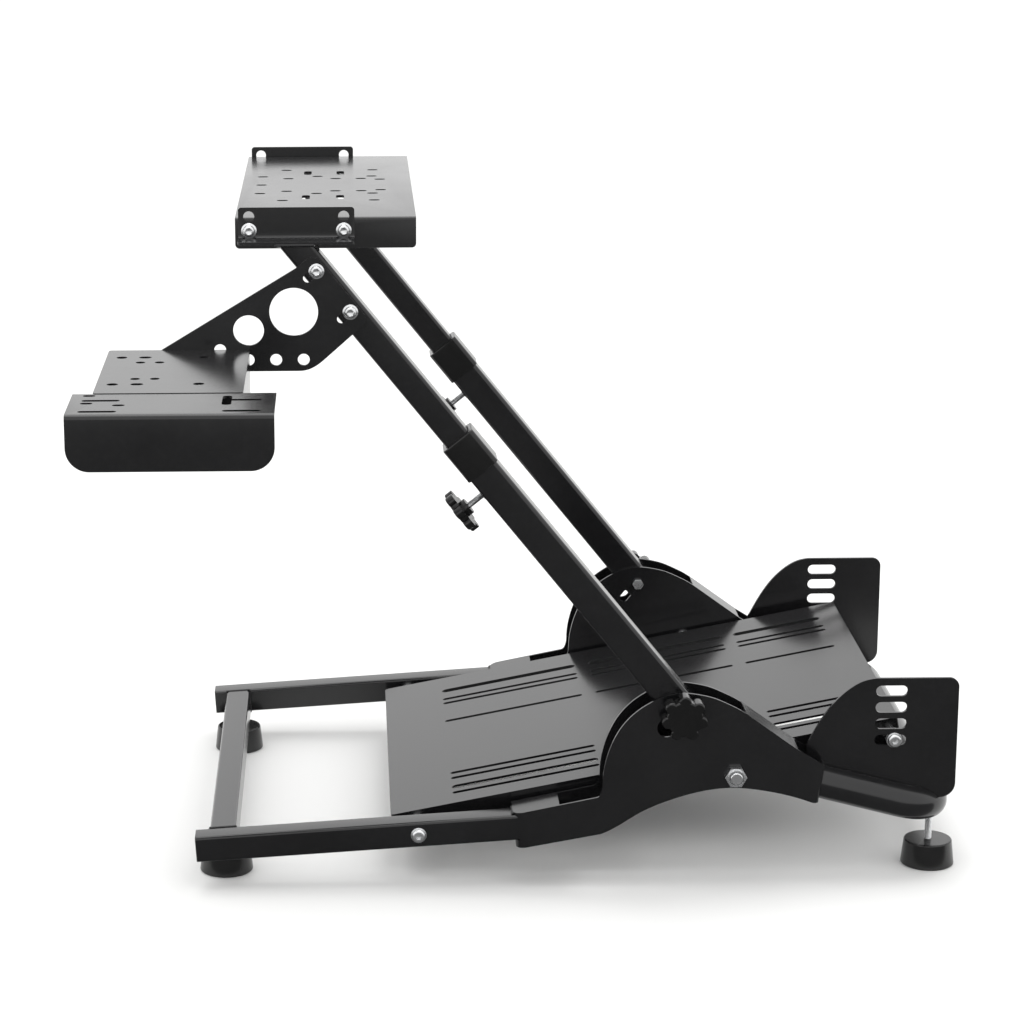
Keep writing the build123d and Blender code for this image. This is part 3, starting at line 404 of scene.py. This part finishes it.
def weld(name, points, body, radius=BEAD_RADIUS, closed=False):
    """Bead along a polyline, sunk half into the joint: r(s) = radius (1 + share cos(2 pi s / ripple))."""
    points = [Vector(point) for point in points]
    if closed:
        points.append(points[0])
    path = []
    for start, end in zip(points, points[1:]):
        count = max(2, int((end - start).length / BEAD_STEP))
        path += [start.lerp(end, k / count) for k in range(count)]
    path.append(points[-1])
    path = np.array(path)
    length = np.concatenate([[0], np.cumsum(np.linalg.norm(np.diff(path, axis=0), axis=1))])
    reach = radius * (1 + RIPPLE_SHARE * np.cos(TURN * length / BEAD_RIPPLE))
    grid_piece(name, swept(path, reach), body, BLACK)


for side_name, sign in SIDES:
    threaded(f"{side_name}_height_bolt", on_leg(side_name, HEIGHT_BOLT_UP_LEG, HEIGHT_BOLT_START), UNDER_LEG,
             **HEIGHT_BOLT)
    for place_name, stud_length in STUD_LENGTHS.items():
        stud = f"{side_name}_{place_name}_foot_stud"
        low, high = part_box(stud)
        threaded(stud, (high.x - STUD_RADIUS, (low.y + high.y) / 2, low.z), UPWARD, stud_length,
                 STUD_RADIUS, STUD_PITCH)

    low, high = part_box("rear_cross_tube")
    middle = (low + high) / 2
    end_y = middle.y + sign * ((high.y - low.y) / 2 - CROSS_BEAD_INSET)
    weld(f"{side_name}_cross_tube_weld",
         [(middle.x + CROSS_TUBE_HALF * (u - RAIL_SLOPE * v), end_y,
           middle.z + CROSS_TUBE_HALF * (v + RAIL_SLOPE * u)) for u, v in CORNERS],
         "floor_frame", THIN_BEAD_RADIUS, closed=True)

    low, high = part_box(f"{side_name}_upper_tube")
    weld(f"{side_name}_leg_top_weld",
         [(low.x + LEG_CUT_HALF + LEG_BEAD_HALF[0] * u, (low.y + high.y) / 2 + sign * LEG_BEAD_HALF[1] * v,
           high.z - LEG_BEAD_DROP) for u, v in CORNERS],
         "wheel_frame", closed=True)

    low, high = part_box(f"{side_name}_hinge_bracket")
    weld(f"{side_name}_rail_web_weld",
         [(low.x + WEB_BEAD_FROM_BRACKET[0], HINGE.y + sign * y, low.z + WEB_BEAD_FROM_BRACKET[1])
          for y in WEB_BEAD_FROM_MIDDLE], "floor_frame")


# Camera, matched to the photograph
IMAGE_SIDE = 1024
SENSOR_WIDTH = 36.0
CAMERA_PLACE = Vector((-0.17375, -2.7856, 1.0521))
YAW, PITCH, ROLL = math.radians(0.776), math.radians(14.361), math.radians(-0.267)
FOCAL_PIXELS = 3000.09
CENTRE_PIXEL = (389.6, 512.3)
NEAREST, FARTHEST = 0.05, 60

look = Vector((math.sin(YAW) * math.cos(PITCH), math.cos(YAW) * math.cos(PITCH), -math.sin(PITCH)))
level = Vector((math.cos(YAW), -math.sin(YAW), 0))
upright = level.cross(look)
right = math.cos(ROLL) * level + math.sin(ROLL) * upright
up = math.cos(ROLL) * upright - math.sin(ROLL) * level
lens = bpy.data.cameras.new("camera")
lens.sensor_width = SENSOR_WIDTH
lens.lens = SENSOR_WIDTH * FOCAL_PIXELS / IMAGE_SIDE
lens.shift_x = (IMAGE_SIDE / 2 - CENTRE_PIXEL[0]) / IMAGE_SIDE
lens.shift_y = (CENTRE_PIXEL[1] - IMAGE_SIDE / 2) / IMAGE_SIDE
lens.clip_start, lens.clip_end = NEAREST, FARTHEST
camera = bpy.data.objects.new("camera", lens)
camera.matrix_world = Matrix.Translation(CAMERA_PLACE) @ Matrix((right, up, -look)).transposed().to_4x4()
bpy.context.scene.collection.objects.link(camera)
bpy.context.scene.camera = camera


# Pale floor and soft studio light
WHITE_STRENGTH = 1.3
LAMP_PLACE, LAMP_TARGET = Vector((-0.3, 0.3, 3.4)), Vector((0, 0.1, 0.2))
LAMP_SIDE, LAMP_WATTS = 2.6, 45


def flat_material(name, code):
    """Plain matt finish of the stage."""
    mat = bpy.data.materials.new(name)
    mat.use_nodes = True
    shader = mat.node_tree.nodes["Principled BSDF"]
    shader.inputs["Base Color"].default_value = linear(code)
    shader.inputs["Roughness"].default_value = 1.0
    shader.inputs["Specular IOR Level"].default_value = 0.0
    return mat


def stage_plane(name, low, high, z, code):
    """Level piece of the stage between two corners."""
    corners = [(low[0], low[1], z), (high[0], low[1], z), (high[0], high[1], z), (low[0], high[1], z)]
    mesh = bpy.data.meshes.new(name)
    mesh.from_pydata(corners, [], [(0, 1, 2, 3)])
    mesh.materials.append(flat_material(name, code))
    obj = bpy.data.objects.new(name, mesh)
    bpy.context.scene.collection.objects.link(obj)
    return obj


stage_plane("pale_floor", (-30, -30), (30, 30), 0, "E9E9E8")

# A darker floor that only reflections see, so that upright faces are as dark as in the photograph
shade = stage_plane("floor_shade", (-3, -5), (3, -0.095), 0.002, "6A6A6A")
shade.visible_camera = shade.visible_diffuse = shade.visible_shadow = False

world = bpy.data.worlds.new("studio")
world.use_nodes = True
world.node_tree.nodes["Background"].inputs["Color"].default_value = linear("FFFFFF")
world.node_tree.nodes["Background"].inputs["Strength"].default_value = WHITE_STRENGTH
bpy.context.scene.world = world

overhead = bpy.data.lights.new("overhead", "AREA")
overhead.shape = "SQUARE"
overhead.size = LAMP_SIDE
overhead.energy = LAMP_WATTS
lamp = bpy.data.objects.new("overhead", overhead)
lamp.location = LAMP_PLACE
lamp.rotation_euler = (LAMP_TARGET - LAMP_PLACE).to_track_quat("-Z", "Y").to_euler()
bpy.context.scene.collection.objects.link(lamp)
bpy.context.scene.view_settings.view_transform = "Standard"
